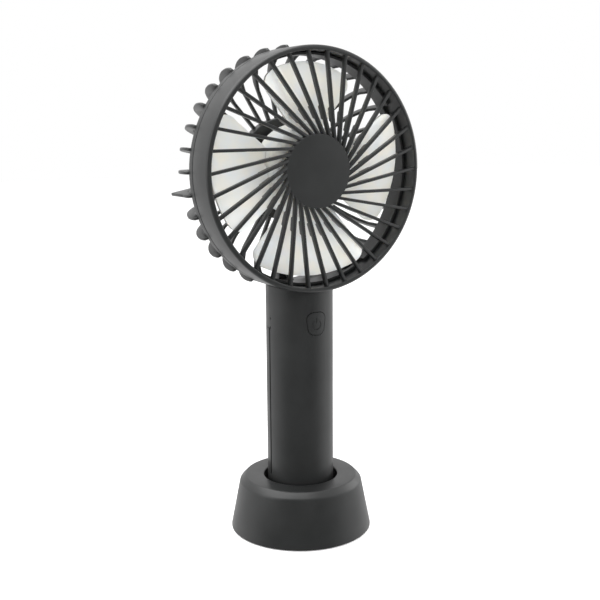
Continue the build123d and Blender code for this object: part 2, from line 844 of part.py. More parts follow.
with BuildPart() as tact_switch:
    with BuildSketch(Plane.XZ.offset(-board_front_y)):
        with Locations((0, button_z)):
            RectangleRounded(5.2, 5.2, 0.5)
    extrude(amount=1.1)
    with BuildSketch(Plane.XZ.offset(-board_front_y + 1.1)):
        with Locations((0, button_z)):
            Circle(1.1)
    extrude(amount=0.4)

with BuildPart() as charge_board:
    with BuildSketch(Plane.XY.offset(charge_board_z)):
        with Locations((0, 3.0)):
            RectangleRounded(21.0, 10.4, 0.8)
    extrude(amount=1.0)

with BuildPart() as charge_chips:
    with BuildSketch(Plane.XY.offset(charge_board_z + 1.0)):
        with Locations((-6.0, 3.0)):
            Rectangle(4.9, 3.9)
        with Locations((6.2, 4.2)):
            Rectangle(2.9, 1.6)
        with Locations((6.2, 0.6)):
            Rectangle(4.4, 2.6)
    extrude(amount=1.2)

with BuildPart() as usb_socket:
    with BuildSketch(Plane.XZ.offset(-9.0)):
        with Locations((0, usb_z)):
            RectangleRounded(usb_w, usb_h, 0.9)
    extrude(amount=-5.8)
    with BuildSketch(Plane.XZ.offset(-14.8)):
        with Locations((0, usb_z)):
            RectangleRounded(usb_w - 0.7, usb_h - 0.7, 0.6)
            with Locations((0, 0.3)):
                Rectangle(usb_w - 2.4, 0.6, mode=Mode.SUBTRACT)
    extrude(amount=4.4, mode=Mode.SUBTRACT)

# ---- cell and its contacts ---------------------------------------------------------------
with BuildPart() as battery:
    with BuildSketch(Plane.XY.offset(cell_z)):
        with Locations((0, cell_y)):
            Circle(cell_r)
    extrude(amount=cell_len - 1.0)
    fillet(battery.edges().filter_by(GeomType.CIRCLE), 0.7)
    with BuildSketch(Plane.XY.offset(cell_z + cell_len - 1.0)):
        with Locations((0, cell_y)):
            Circle(2.9)
    extrude(amount=1.0)

with BuildPart() as contact_plate:
    with BuildSketch(Plane.XY.offset(89.2)):
        with Locations((0, cell_y)):
            RectangleRounded(15.0, 7.0, 1.0)
    extrude(amount=0.5)

spring_turns = 2.5
spring_pitch = 1.18
with BuildPart() as contact_spring:
    with BuildLine() as spring_path:
        Helix(
            pitch=spring_pitch,
            height=spring_pitch * spring_turns,
            radius=6.0,
            center=(0, cell_y, 20.62),
            cone_angle=-25,
        )
    with BuildSketch(Plane(origin=spring_path.line @ 0, z_dir=spring_path.line % 0)):
        Circle(0.35)
    sweep(path=spring_path.line, is_frenet=True)

with BuildPart() as spring_plate:
    with BuildSketch(Plane.XY.offset(20.0)):
        with Locations((0, cell_y)):
            Circle(7.6)
    extrude(amount=0.25)

# ---- leads ---------------------------------------------------------------------------------
motor_lead_solids = []
for lead_x in lead_xs:
    motor_lead_solids.append(lead([
        (lead_x, lead_bore_y, charge_board_z + 1.05),
        (lead_x, lead_bore_y, 112.5),
        (lead_x, 15.0, 122.5),
        (lead_x, 15.0, 138.0),
        (lead_x, 13.5, 146.0),
        (lead_x, 13.3, 151.6),
        (lead_x, 12.5, 155.05),
    ]))
plus_lead = lead([(-6.0, 3.0, 89.75), (-6.0, 3.0, 98.55)])
minus_lead = lead([
    (6.4, -1.0, 19.95),
    (6.4, -1.0, 15.4),
    (11.2, -3.3, 16.0),
    (11.3, -3.2, 22.5),
    (11.5, -3.3, 34.0),
    (11.4, -3.1, 60.0),
    (11.5, -3.3, 84.0),
    (11.0, -3.0, 93.0),
    (9.6, -1.0, 98.2),
])
board_lead_solids = []
for lead_x in (-3.0, 3.0):
    board_lead_solids.append(lead([
        (lead_x, board_front_y + board_t + 0.05, 95.0),
        (lead_x, -6.0, 95.2),
        (lead_x, -2.9, 98.7),
    ]))
motor_leads = gather(motor_lead_solids)
battery_leads = gather([plus_lead, minus_lead])
board_leads = gather(board_lead_solids)

# ---- write every piece as its own node ------------------------------------------------------
pieces = {
    "base_shell": base_shell.part,
    "base_plate": base_plate.part,
    "foot_pads": foot_pads.part,
    "base_screws": base_screws.part,
    "front_grille": front_grille.part,
    "rear_grille": rear_grille.part,
    "motor_cover": motor_cover.part,
    "cover_screws": cover_screws.part,
    "motor_screws": motor_screws.part,
    "motor_can": motor_can.part,
    "motor_magnets": motor_magnets.part,
    "motor_end_cap": motor_end_cap.part,
    "motor_terminals": motor_terminals.part,
    "motor_bushes": motor_bushes.part,
    "brushes": brushes.part,
    "motor_shaft": motor_shaft.part,
    "armature": armature.part,
    "windings": windings.part,
    "commutator": commutator.part,
    "impeller": impeller.part,
    "handle_front": handle_front.part,
    "handle_rear": handle_rear.part,
    "handle_screws": handle_screws.part,
    "battery_cover": battery_cover.part,
    "power_button": power_button.part,
    "control_board": control_board.part,
    "board_screws": board_screws.part,
    "tact_switch": tact_switch.part,
    "charge_board": charge_board.part,
    "charge_chips": charge_chips.part,
    "usb_socket": usb_socket.part,
    "battery": battery.part,
    "contact_plate": contact_plate.part,
    "contact_spring": contact_spring.part,
    "spring_plate": spring_plate.part,
    "motor_leads": motor_leads,
    "battery_leads": battery_leads,
    "board_leads": board_leads,
}
os.makedirs("parts", exist_ok=True)
for name, piece in pieces.items():
    piece.label = name
    export_step(piece, f"parts/{name}.step")
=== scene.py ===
# %% [markdown]
# # A small round fan standing in its desk stand
#
# The object is a hand-held fan with a rechargeable cell in its round handle, resting in a
# low round stand. Nearly all of it is injection-moulded plastic: charcoal ABS for the
# grilles, handle and stand, and a milky, light-passing plastic for the four blades.
#
# The exact shapes, sizes and joints come from a CAD model, which is loaded first and stays
# where it is. This lesson models again, by hand, the pieces that catch the light most, with
# the softened edges that moulded plastic has, and then gives every piece its finish.

# %% Load the CAD model
import math
import bmesh
import bpy
from mathutils import Matrix, Vector


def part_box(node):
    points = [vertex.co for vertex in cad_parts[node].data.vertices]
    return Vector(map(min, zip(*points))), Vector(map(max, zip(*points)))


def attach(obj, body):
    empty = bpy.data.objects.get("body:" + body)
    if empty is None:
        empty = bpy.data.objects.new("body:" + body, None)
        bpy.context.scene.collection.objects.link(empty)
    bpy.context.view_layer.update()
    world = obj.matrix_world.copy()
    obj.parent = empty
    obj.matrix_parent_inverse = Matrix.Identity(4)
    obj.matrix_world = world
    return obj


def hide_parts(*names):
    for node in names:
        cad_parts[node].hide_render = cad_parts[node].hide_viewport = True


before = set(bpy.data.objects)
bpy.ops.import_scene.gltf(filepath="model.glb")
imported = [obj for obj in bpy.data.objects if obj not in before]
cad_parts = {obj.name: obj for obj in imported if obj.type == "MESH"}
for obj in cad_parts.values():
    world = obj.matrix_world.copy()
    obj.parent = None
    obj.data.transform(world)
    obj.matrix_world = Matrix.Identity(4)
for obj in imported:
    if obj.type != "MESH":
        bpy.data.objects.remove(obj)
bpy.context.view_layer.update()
bpy.ops.object.select_all(action="DESELECT")
print("CAD nodes:", len(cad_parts))

# %% [markdown]
# ## The camera first
#
# A camera can be placed by eye, by a constraint that looks at a target, or by numbers. Here
# it is placed by numbers, because the view has to be the same each time: a little above the
# middle of the head, about 30 degrees round to the fan's right, looking 10 degrees down. The
# long lens keeps the perspective mild, as in a product picture taken from arm's length.

# %% Camera
MM = 0.001


def at(x, y, z):
    """A point given in millimetres, in Blender's metres."""
    return Vector((x, y, z)) * MM


camera_turn = math.radians(-30.08)
camera_tilt = math.radians(10.25)
camera_roll = math.radians(-0.42)
camera_data = bpy.data.cameras.new("product_camera")
camera_data.sensor_width = 36.0
camera_data.lens = 57.86
camera_data.clip_start = 0.01
camera = bpy.data.objects.new("product_camera", camera_data)
bpy.context.collection.objects.link(camera)
camera.matrix_world = (
    Matrix.Translation(at(-214.8, -371.5, 184.2))
    @ Matrix.Rotation(camera_turn, 4, "Z")
    @ Matrix.Rotation(math.pi / 2 - camera_tilt, 4, "X")
    @ Matrix.Rotation(camera_roll, 4, "Z")
)
bpy.context.scene.camera = camera
print("camera lens, mm:", camera_data.lens)

# %% [markdown]
# ## Tools for turning and copying
#
# Rings, hubs and stands are bodies of revolution. On a lathe the outline would be cut while
# the work turns; in Blender the outline is drawn as a wire and the Spin tool sweeps it round
# an axis. The wire starts as a tiny plane merged to one vertex, and each further corner is
# extruded from the last, exactly as with the E key. A corner of the wire is rounded with a
# vertex bevel before the spin, so that the edge of the finished piece is soft all round.

# %% Where the fan axis is
WELD = 1e-6                     # vertices closer than a thousandth of a millimetre are one
FINE_STEPS = 160                # faces round a ring whose edge is seen against white
fan_low, fan_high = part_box("front_grille")
head_z = (fan_low[2] + fan_high[2]) / 2
fan_centre = Vector((0, 0, head_z))
FAN_AXIS = (0, 1, 0)
UP_AXIS = (0, 0, 1)


def on_fan(y, radius):
    """A point of an outline turned about the fan axis: y along it, radius from it."""
    return at(radius, y, 0) + fan_centre


def on_stand(radius, z):
    """A point of an outline turned about the upright axis."""
    return at(radius, 0, z)


print("fan axis height, mm:", round(head_z / MM, 2))

# %% Pick and draw
def pick(piece, kind, test):
    """Select the vertices, edges or faces whose middle passes the test."""
    bpy.ops.mesh.select_mode(type=kind)
    bpy.ops.mesh.select_all(action="DESELECT")
    mesh = bmesh.from_edit_mesh(piece.data)
    if kind == "VERT":
        chosen = [v for v in mesh.verts if test(v.co)]
    elif kind == "EDGE":
        chosen = [e for e in mesh.edges if test((e.verts[0].co + e.verts[1].co) / 2, e)]
    else:
        chosen = [f for f in mesh.faces if test(f.calc_center_median(), f.normal)]
    for element in chosen:
        element.select_set(True)
    bmesh.update_edit_mesh(piece.data)


def draw_wire(name, corners, closed=True):
    """Draw a wire corner by corner and stay in edit mode."""
    bpy.ops.object.select_all(action="DESELECT")
    bpy.ops.mesh.primitive_plane_add(size=MM, location=corners[0])
    wire = bpy.context.object
    wire.name = name
    wire.data.name = name
    bpy.ops.object.transform_apply(location=True, rotation=False, scale=False)
    bpy.ops.object.mode_set(mode="EDIT")
    bpy.ops.mesh.select_mode(type="VERT")
    bpy.ops.mesh.merge(type="CENTER")
    path = list(corners)
    if closed:
        path.append(corners[0])
    for before, after in zip(path, path[1:]):
        bpy.ops.mesh.extrude_region_move(TRANSFORM_OT_translate={"value": after - before})
    bpy.ops.mesh.select_all(action="SELECT")
    bpy.ops.mesh.remove_doubles(threshold=WELD)
    return wire


def round_corner(piece, corner, size, segments=5):
    """Round one corner of a wire, starting size before it and ending size after it."""
    pick(piece, "VERT", lambda co: (co - corner).length < 20 * WELD)
    bpy.ops.mesh.bevel(affect="VERTICES", offset=size * MM, segments=segments)


print("outline drawing is ready; corners merge below", WELD / MM, "mm")

# %% [markdown]
# Spin does two jobs. On a wire or a face it sweeps a solid; with its copies option it repeats
# a finished piece round the axis. A piece is made at three o'clock, seen from the front, and
# then turned to its own place before it is copied.

# %% Spin, turn and copy
def spin(centre, axis, steps, degrees=360.0, copies=False):
    """Spin what the whole mesh holds about an axis, as a surface or as copies."""
    bpy.ops.mesh.select_all(action="SELECT")
    bpy.ops.mesh.spin(
        steps=steps, angle=math.radians(degrees), center=centre, axis=axis, dupli=copies
    )


def turn_by(degrees):
    """Turn the whole mesh about the fan axis, counter-clockwise seen from the front."""
    bpy.ops.mesh.select_all(action="SELECT")
    bpy.ops.transform.rotate(
        value=math.radians(degrees), orient_axis="Y", center_override=fan_centre
    )


def place_round(piece, start_deg, copies=0, step_deg=0.0):
    """Turn a finished piece to its place on the fan and add copies at equal steps."""
    bpy.ops.object.select_all(action="DESELECT")
    piece.select_set(True)
    bpy.context.view_layer.objects.active = piece
    bpy.ops.object.mode_set(mode="EDIT")
    turn_by(start_deg)
    if copies:
        spin(fan_centre, FAN_AXIS, copies, copies * step_deg, copies=True)
    bpy.ops.object.mode_set(mode="OBJECT")


def close_up():
    """Weld the seam, turn the faces outwards and leave edit mode."""
    bpy.ops.mesh.select_all(action="SELECT")
    bpy.ops.mesh.remove_doubles(threshold=WELD)
    bpy.ops.mesh.normals_make_consistent(inside=False)
    bpy.ops.object.mode_set(mode="OBJECT")


print("turning helpers are ready, about", tuple(round(c / MM, 1) for c in fan_centre), "mm")

# %% Soften, join and cut
def soften(piece, width, segments=2, angle=35.0):
    """Round the sharp edges with a Bevel modifier, apply it and shade smooth."""
    bpy.ops.object.select_all(action="DESELECT")
    piece.select_set(True)
    bpy.context.view_layer.objects.active = piece
    if width > 0:
        bpy.ops.object.modifier_add(type="BEVEL")
        bevel = piece.modifiers[-1]
        bevel.width = width * MM
        bevel.segments = segments
        bevel.limit_method = "ANGLE"
        bevel.angle_limit = math.radians(angle)
        bpy.ops.object.modifier_apply(modifier=bevel.name)
    bpy.ops.object.shade_smooth_by_angle(angle=math.radians(angle))


def join(pieces, name):
    """Join several finished meshes into one moulding."""
    bpy.ops.object.select_all(action="DESELECT")
    for piece in pieces:
        piece.select_set(True)
    bpy.context.view_layer.objects.active = pieces[0]
    bpy.ops.object.join()
    joined = bpy.context.object
    joined.name = name
    joined.data.name = name
    return joined


def turned(name, outline, rounds, place, centre, axis, steps):
    """Spin a closed outline; outline corners and rounds use the two numbers place() takes."""
    piece = draw_wire(name, [place(*corner) for corner in outline])
    for corner, size in rounds:
        round_corner(piece, place(*corner), size)
    spin(centre, axis, steps)
    close_up()
    return piece


def turned_on_fan(name, outline, rounds, steps=96):
    """A round piece about the fan axis, from its (y, radius) outline."""
    return turned(name, outline, rounds, on_fan, fan_centre, FAN_AXIS, steps)


def cut(piece, cutter, operation="DIFFERENCE"):
    """Cut the piece with the cutter by an applied Boolean modifier, and throw the cutter away."""
    bpy.ops.object.select_all(action="DESELECT")
    piece.select_set(True)
    bpy.context.view_layer.objects.active = piece
    boolean = piece.modifiers.new("cut", "BOOLEAN")
    boolean.operation = operation
    boolean.object = cutter
    boolean.solver = "EXACT"
    bpy.ops.object.modifier_apply(modifier=boolean.name)
    bpy.data.objects.remove(cutter, do_unlink=True)


print("finishing helpers are ready; a full turn takes", FINE_STEPS, "steps on the rings")

# %% [markdown]
# ## The stand
#
# The stand is one moulding: a truncated cone with a flat top, a small chamfer round it and a
# round socket that takes the handle's foot. It could be a cylinder pushed in with insets, but
# its section is easier to read as a wire, so it is drawn once and spun. The corners that
# show are rounded, which is what makes the thin bright lines round the top.

# %% Stand shell
stand_outline = [
    (0.0, 6.0), (15.5, 6.0), (15.5, 8.0), (17.0, 25.0), (25.65, 25.0), (28.2, 22.4),
    (32.5, 0.4), (30.6, 0.4), (26.4, 21.3), (24.9, 22.8), (18.6, 22.8), (17.2, 4.4),
    (0.0, 4.4),
]
stand_rounds = [
    ((15.5, 8.0), 0.5), ((17.0, 25.0), 0.6), ((25.65, 25.0), 0.5), ((28.2, 22.4), 0.6),
    ((32.5, 0.4), 0.5), ((30.6, 0.4), 0.3),
]
stand_shell = turned(
    "stand_shell", stand_outline, stand_rounds, on_stand, at(0, 0, 0), UP_AXIS, 128
)
soften(stand_shell, 0)
print("stand faces:", len(stand_shell.data.polygons))

# %% [markdown]
# Under the shell, three screw bosses reach down to the bottom plate. One boss is turned from
# its own small outline with a screw hole up the middle, and Spin makes the other two.

# %% Screw bosses of the stand
boss_y = 23.5
boss_r, boss_hole_r = 2.6, 1.05
boss_low, boss_high = 2.5, 22.9


def on_boss(radius, z):
    """A point of the boss outline, at the first boss's place."""
    return at(radius, boss_y, z)


stand_bosses = turned(
    "stand_bosses",
    [(boss_hole_r, boss_low), (boss_r, boss_low), (boss_r, boss_high), (boss_hole_r, boss_high)],
    [((boss_r, boss_low), 0.3)],
    on_boss,
    at(0, boss_y, 0),
    UP_AXIS,
    24,
)
bpy.ops.object.mode_set(mode="EDIT")
spin(at(0, 0, 0), UP_AXIS, 2, 240.0, copies=True)
close_up()
soften(stand_bosses, 0)
stand_shell = join([stand_shell, stand_bosses], "stand_shell")
print("stand with bosses, faces:", len(stand_shell.data.polygons))

# %% [markdown]
# ## The front grille
#
# The front grille is one moulding of a ring, a plain round disc and 34 straight vanes. The
# vanes don't point at the middle: each misses the fan axis by nearly 10 mm, so they sweep
# past the disc like the lines of a closing shutter. That swirl is the face of the fan.
#
# The ring and the disc are turned. Their front corners are rounded more than the rear ones,
# because fingers and light meet them.

# %% Ring and disc
ring_r, ring_in_r = 52.5, 50.3
ring_front, ring_back = -18.0, -3.95
front_ring = turned_on_fan(
    "front_ring",
    [(ring_front, ring_in_r), (ring_front, ring_r), (ring_back, ring_r), (ring_back, ring_in_r)],
    [
        ((ring_front, ring_in_r), 0.5), ((ring_front, ring_r), 1.5),
        ((ring_back, ring_r), 0.25), ((ring_back, ring_in_r), 0.2),
    ],
    FINE_STEPS,
)
soften(front_ring, 0)
centre_disc = turned_on_fan(
    "centre_disc",
    [(-17.6, 0.0), (-17.6, 15.9), (-14.8, 15.9), (-14.8, 14.5), (-16.1, 14.5), (-16.1, 0.0)],
    [((-17.6, 15.9), 0.5), ((-14.8, 15.9), 0.3)],
)
soften(centre_disc, 0)
print("ring and disc faces:", len(front_ring.data.polygons), len(centre_disc.data.polygons))

# %% [markdown]
# One vane starts as a cube stretched to a thin bar. Two cuts mark the stretch where its back
# edge is 1 mm deeper, which stiffens it, and the face between the cuts is extruded back and
# drawn in at its ends. The two long front edges are rounded.

# %% One vane
vane_offset = 9.8               # how far a vane's line passes from the fan axis
vane_t = 1.3
vane_depth = 2.4
vane_front = -17.6
vane_near, vane_far = 11.75, 50.15
tab_near, tab_far = 19.8, 26.2
tab_extra = 1.0
tab_taper = 0.84
front_edge_round = 0.35

bpy.ops.mesh.primitive_cube_add(
    size=1.0,
    location=at((vane_near + vane_far) / 2, vane_front + vane_depth / 2, -vane_offset) + fan_centre,
    scale=at(vane_far - vane_near, vane_depth, vane_t),
)
vanes = bpy.context.object
vanes.name = "vanes"
bpy.ops.object.transform_apply()
bpy.ops.object.mode_set(mode="EDIT")
for cut_x in (tab_near, tab_far):
    bpy.ops.mesh.select_all(action="SELECT")
    bpy.ops.mesh.bisect(plane_co=at(cut_x, 0, 0), plane_no=(1, 0, 0))
tab_middle = at((tab_near + tab_far) / 2, vane_front + vane_depth, -vane_offset) + fan_centre
pick(vanes, "FACE", lambda co, normal: (co - tab_middle).length < 0.1 * MM)
bpy.ops.mesh.extrude_region_move(TRANSFORM_OT_translate={"value": at(0, tab_extra, 0)})
bpy.ops.transform.resize(value=(tab_taper, 1, 1), center_override=tab_middle)
front_face_y = vane_front * MM
pick(
    vanes,
    "EDGE",
    lambda co, edge: abs(co.y - front_face_y) < WELD
    and abs(edge.verts[0].co.z - edge.verts[1].co.z) < WELD,
)
bpy.ops.mesh.bevel(affect="EDGES", offset=front_edge_round * MM, segments=3)
bpy.ops.object.mode_set(mode="OBJECT")
soften(vanes, 0.15)
print("faces in one vane:", len(vanes.data.polygons))

# %% All the vanes
vane_count = 34
vane_start_deg = 0.5
place_round(vanes, vane_start_deg, vane_count - 1, 360.0 / vane_count)
print("faces in", vane_count, "vanes:", len(vanes.data.polygons))

# %% [markdown]
# Four small lugs inside the ring hook into slots in the rear half and hold the grille on with
# a short twist. Each is a bar with bevelled edges, standing on the ring's inner wall.

# %% Bayonet lugs
lug_count = 4
lug_first_deg = 22
lug_step_deg = 360.0 / lug_count
lug_r, lug_y = 49.95, -7.1
lug_size = at(1.5, 1.8, 3.2)
bpy.ops.mesh.primitive_cube_add(size=1.0, location=on_fan(lug_y, lug_r), scale=lug_size)
lugs = bpy.context.object
lugs.name = "lugs"
bpy.ops.object.transform_apply()
soften(lugs, 0.25)
place_round(lugs, lug_first_deg, lug_count - 1, lug_step_deg)
front_guard = join([front_ring, centre_disc, vanes, lugs], "front_guard")
print("front guard faces:", len(front_guard.data.polygons))

# %% [markdown]
# ## The rear grille
#
# The rear half is the fan's skeleton, moulded in one piece: a ring with a thin skirt that
# slides inside the front ring, a hub plate with a pot for the motor, ribs that run over the
# domed back from ring to hub, and a spoke with a groove for the wires that goes down to the
# neck. The round pieces are turned. The slots for the lugs are cut by a Boolean modifier
# with a cutter that is itself an outline spun through the few degrees of the twist.

# %% Ring and skirt
skirt_in_r, skirt_r = 48.9, 50.0
rear_ring = turned_on_fan(
    "rear_ring",
    [
        (-10.4, skirt_in_r), (-10.4, skirt_r), (-3.65, skirt_r), (-3.65, ring_r), (0.0, ring_r),
        (0.0, ring_in_r), (-1.5, skirt_in_r),
    ],
    [
        ((-10.4, skirt_r), 0.2), ((-3.65, ring_r), 0.25), ((0.0, ring_r), 0.5),
        ((0.0, ring_in_r), 0.3),
    ],
    FINE_STEPS,
)
print("ring and skirt faces:", len(rear_ring.data.polygons))

# %% Lug slots
slot_in_r, slot_r = 48.2, 50.2


def swept(name, outline, first_deg, swept_deg, steps):
    """A closed block from a (y, radius) outline, spun about the fan axis from first_deg."""
    block = draw_wire(name, [on_fan(*corner) for corner in outline])
    bpy.ops.mesh.edge_face_add()
    turn_by(first_deg)
    spin(fan_centre, FAN_AXIS, steps, swept_deg)
    close_up()
    return block


def slot_cutter(name, y_front, y_back, first_deg, swept_deg, steps):
    """A block through the skirt at each lug."""
    outline = [(y_front, slot_in_r), (y_front, slot_r), (y_back, slot_r), (y_back, slot_in_r)]
    cutter = swept(name, outline, first_deg, swept_deg, steps)
    place_round(cutter, 0.0, lug_count - 1, lug_step_deg)
    return cutter


cut(rear_ring, slot_cutter("twist_slots", -8.4, -5.8, lug_first_deg - 2.5, 15.0, 6))
cut(rear_ring, slot_cutter("entry_slots", -11.0, -8.0, lug_first_deg + 7.5, 5.0, 2))
soften(rear_ring, 0)
print("rear ring faces:", len(rear_ring.data.polygons))

# %% [markdown]
# A rib is drawn in profile: it leaves the ring a little proud of it, curves in over the
# dome, and dips to the hub plate, 2.4 mm deep at the hub and nearly twice that at its outer
# corner. The filled profile is extruded to its thickness and its edges are rounded. Spin
# copies it round the axis, leaving a gap of two ribs at the bottom for the wiring spoke.

# %% Rib profile
rib_t = 1.3
rib_round = 0.28


def through(start, middle, end, steps):
    """Points along the circular arc from start to end that passes through middle."""
    (ax, ay), (bx, by), (cx, cy) = start, middle, end
    d = 2 * (ax * (by - cy) + bx * (cy - ay) + cx * (ay - by))
    a2, b2, c2 = ax * ax + ay * ay, bx * bx + by * by, cx * cx + cy * cy
    ux = (a2 * (by - cy) + b2 * (cy - ay) + c2 * (ay - by)) / d
    uy = (a2 * (cx - bx) + b2 * (ax - cx) + c2 * (bx - ax)) / d
    radius = math.hypot(ax - ux, ay - uy)
    begin = math.atan2(ay - uy, ax - ux)
    sweep = math.atan2(cy - uy, cx - ux) - begin
    sweep = (sweep + math.pi) % (2 * math.pi) - math.pi
    turns = [begin + sweep * i / steps for i in range(steps + 1)]
    return [(ux + radius * math.cos(t), uy + radius * math.sin(t)) for t in turns]


def rib_from(name, profile):
    """A flat rib with rounded edges from its (radius, y) profile."""
    rib = draw_wire(name, [on_fan(y, r) for r, y in profile])
    bpy.ops.mesh.edge_face_add()
    bpy.ops.transform.translate(value=at(0, 0, -rib_t / 2))
    bpy.ops.mesh.extrude_region_move(TRANSFORM_OT_translate={"value": at(0, 0, rib_t)})
    close_up()
    soften(rib, rib_round, angle=50.0)
    return rib


rib_profile = (
    [(50.4, -0.6), (52.4, -0.6)]
    + through((53.7, 0.9), (53.1, 9.0), (49.7, 15.8), 10)
    + through((49.7, 15.8), (45.2, 19.0), (39.0, 20.2), 8)[1:]
    + [(22.0, 16.9), (22.0, 14.5)]
    + through((36.0, 17.7), (44.2, 14.9), (49.8, 7.5), 12)
)
ribs = rib_from("ribs", rib_profile)
print("profile corners and faces of one rib:", len(rib_profile), len(ribs.data.polygons))

# %% All the ribs
rib_count = 34                  # places for ribs; the spoke takes two of them
spoke_gap = 2
rib_start_deg = -0.2
rib_step_deg = 360.0 / rib_count
first_rib = 27                  # the first place past the spoke
first_rib_deg = rib_start_deg + first_rib * rib_step_deg
place_round(ribs, first_rib_deg, rib_count - spoke_gap - 1, rib_step_deg)
print("rib faces:", len(ribs.data.polygons))

# %% [markdown]
# One rib, on the left seen from the front and just below the middle, keeps a square outer
# corner that stands further out than the rest.

# %% The long rib
long_rib_number = 18
long_rib = rib_from(
    "long_rib",
    [
        (52.4, -0.6), (53.7, 0.9), (53.7, 18.6), (44.0, 19.4), (44.0, 15.6), (49.8, 7.0),
        (50.4, -0.6),
    ],
)
place_round(long_rib, rib_start_deg + long_rib_number * rib_step_deg)
print("long rib faces:", len(long_rib.data.polygons))

# %% [markdown]
# The ribs above the neck would foul the handle, whose top is hollowed to the ring's curve,
# so there they are cut flush with the ring, as the CAD piece is.

# %% Flush ribs above the neck
DOWN_DEG = 270.0                # the neck's place round the fan, from three o'clock
neck_half = 16.3
neck_front, neck_back = -1.0, 15.6
past_ribs = 56.0
neck_half_deg = math.degrees(math.asin(neck_half / ring_r))
neck_outline = [
    (neck_front, ring_r), (neck_front, past_ribs), (neck_back, past_ribs), (neck_back, ring_r)
]
cut(ribs, swept("neck_cutter", neck_outline, DOWN_DEG - neck_half_deg, 2 * neck_half_deg, 24))
soften(ribs, 0, angle=50.0)
print("rib faces after the cut:", len(ribs.data.polygons))

# %% [markdown]
# The hub plate has a raised rim that the motor cover drops into, and the pot grows forwards
# from it round the motor. Both are turned.

# %% Hub plate and motor pot
pot_in_r, pot_r = 12.32, 14.0
hub_plate = turned_on_fan(
    "hub_plate",
    [(12.0, pot_in_r), (12.0, 22.7), (17.0, 22.7), (17.0, 21.4), (14.0, 21.4), (14.0, pot_in_r)],
    [((12.0, 22.7), 0.6), ((17.0, 22.7), 0.35), ((17.0, 21.4), 0.3)],
)
soften(hub_plate, 0)
motor_pot = turned_on_fan(
    "motor_pot",
    [(12.5, pot_in_r), (12.5, pot_r), (-2.2, pot_r), (-2.2, 3.3), (-0.8, 3.3), (-0.8, pot_in_r)],
    [((-2.2, pot_r), 0.8), ((-2.2, 3.3), 0.2)],
)
soften(motor_pot, 0)
print("hub plate and pot faces:", len(hub_plate.data.polygons), len(motor_pot.data.polygons))

# %% [markdown]
# The spoke is a U-shaped channel, drawn as its cross-section and extruded straight up from
# the neck to the hub. The web is a short stretch of a thicker ring, spun through 48 degrees,
# and under it a half-round tongue goes down into the handle, where two screws hold it.

# %% Wiring spoke and neck web
spoke_low, spoke_length = 114.2, 29.0
channel = [
    (-3.4, 12.4), (3.4, 12.4), (3.4, 17.0), (1.9, 17.0), (1.9, 13.6), (-1.9, 13.6),
    (-1.9, 17.0), (-3.4, 17.0),
]


def raised(name, outline, height):
    """A straight bar on end: an outline filled and extruded upwards."""
    bar = draw_wire(name, outline)
    bpy.ops.mesh.edge_face_add()
    bpy.ops.mesh.extrude_region_move(TRANSFORM_OT_translate={"value": at(0, 0, height)})
    close_up()
    return bar


spoke = raised("spoke", [at(x, y, spoke_low) for x, y in channel], spoke_length)
soften(spoke, 0.25)
web_half_deg = 24.0
web_outline = [(-0.5, 50.2), (-0.5, 52.4), (13.5, 52.4), (13.5, 50.2)]
web = swept("neck_web", web_outline, DOWN_DEG - web_half_deg, 2 * web_half_deg, 24)
soften(web, 0.3, angle=50.0)
print("spoke and web faces:", len(spoke.data.polygons), len(web.data.polygons))

# %% Tongue
tongue_r, tongue_front = 13.2, -3.4
tongue_low, tongue_length = 104.0, 10.2
tongue_steps = 36
tongue_half = math.sqrt(tongue_r ** 2 - tongue_front ** 2)
start_turn = math.atan2(tongue_front, tongue_half)
tongue_arc = []
for i in range(tongue_steps + 1):
    turn = start_turn + (math.pi - 2 * start_turn) * i / tongue_steps
    tongue_arc.append(at(tongue_r * math.cos(turn), tongue_r * math.sin(turn), tongue_low))
tongue = raised("neck_tongue", tongue_arc, tongue_length)
soften(tongue, 0.3, angle=50.0)

rear_guard = join(
    [rear_ring, ribs, long_rib, hub_plate, motor_pot, spoke, web, tongue], "rear_guard"
)
print("rear guard faces:", len(rear_guard.data.polygons))

# %% [markdown]
# ## The blades
#
# The impeller is moulded in one piece: a cup that covers the motor and four broad blades that
# rise towards the front on one side and fall back on the other. A blade is a slice of a
# screw surface, steep at the hub and flat at the tip. To build one, a shallow arc is drawn
# across the blade at the hub, tilted, and extruded outwards station by station, each time
# tilted back a little. A Solidify modifier gives the wall, and a Boolean trims the sheet with
# a block that has the blade's outline, seen from the front, with its two rounded tip corners.

# %% One blade sheet
blade_mid_y = -7.8
blade_lead = 9.0                # rise of the screw surface for one radian of turn
blade_camber = 1.0
half_width = 31.0
stations = [17.0, 21.0, 26.0, 32.0, 39.0, 47.5]
strips = 24


def tilt_by(turn, radius):
    """Tilt the selected arc about the blade's middle line at a radius."""
    bpy.ops.transform.rotate(
        value=turn, orient_axis="X", center_override=on_fan(blade_mid_y, radius)
    )


arc_points = []
for i in range(strips + 1):
    across = 2 * i / strips - 1
    sag = blade_camber * (1 - across * across)
    arc_points.append(at(stations[0], blade_mid_y + sag, half_width * across) + fan_centre)
blade = draw_wire("blades", arc_points, closed=False)
tilts = [math.atan(blade_lead / x) for x in stations]
bpy.ops.mesh.select_all(action="SELECT")
tilt_by(-tilts[0], stations[0])
for before, after, old_tilt, new_tilt in zip(stations, stations[1:], tilts, tilts[1:]):
    bpy.ops.mesh.extrude_region_move(TRANSFORM_OT_translate={"value": at(after - before, 0, 0)})
    tilt_by(old_tilt - new_tilt, after)
bpy.ops.mesh.select_all(action="SELECT")
bpy.ops.mesh.normals_make_consistent(inside=False)
bpy.ops.object.mode_set(mode="OBJECT")
print("tilt at hub and tip, degrees:", [round(math.degrees(t), 1) for t in (tilts[0], tilts[-1])])

